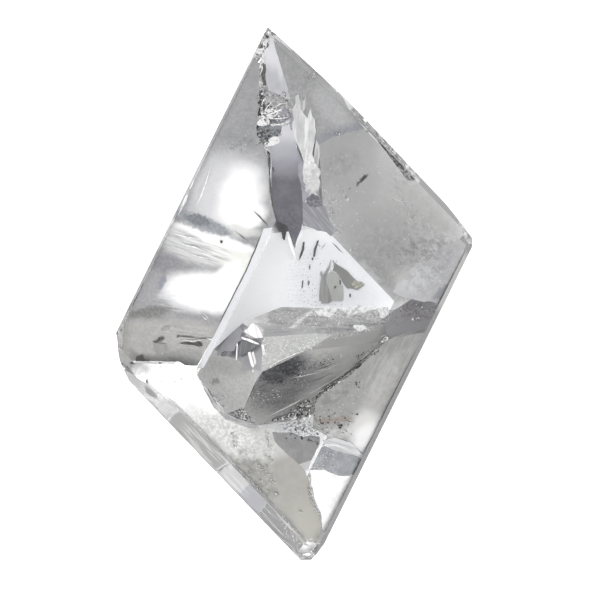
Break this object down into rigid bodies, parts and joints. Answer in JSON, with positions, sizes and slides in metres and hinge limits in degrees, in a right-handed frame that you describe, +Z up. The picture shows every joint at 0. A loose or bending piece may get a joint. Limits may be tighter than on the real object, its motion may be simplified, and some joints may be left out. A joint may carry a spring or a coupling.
{
  "type": "polished crackle quartz crystal",
  "caption": "Flat-topped, kite-shaped stone of clear rock crystal with bevelled edges, a faceted back and a smaller crystal grown inside.",
  "frame": {"origin": "centre of the bounding box, on the surface that the stone's flat back facet rests on", "axes": "+Y along the stone's long direction, towards its sharper point; +Z up through the flat window; +X to the right, seen from above"},
  "size_m": [0.0468, 0.07, 0.019],
  "materials": {
    "clear_quartz": "polished, with veils, crackle and small chips",
    "included_quartz": "natural crystal faces, pitted and finely ribbed"
  },
  "bodies": {
    "root": {"host_crystal": "clear_quartz", "inner_crystal": "included_quartz"}
  },
  "joints": []
}
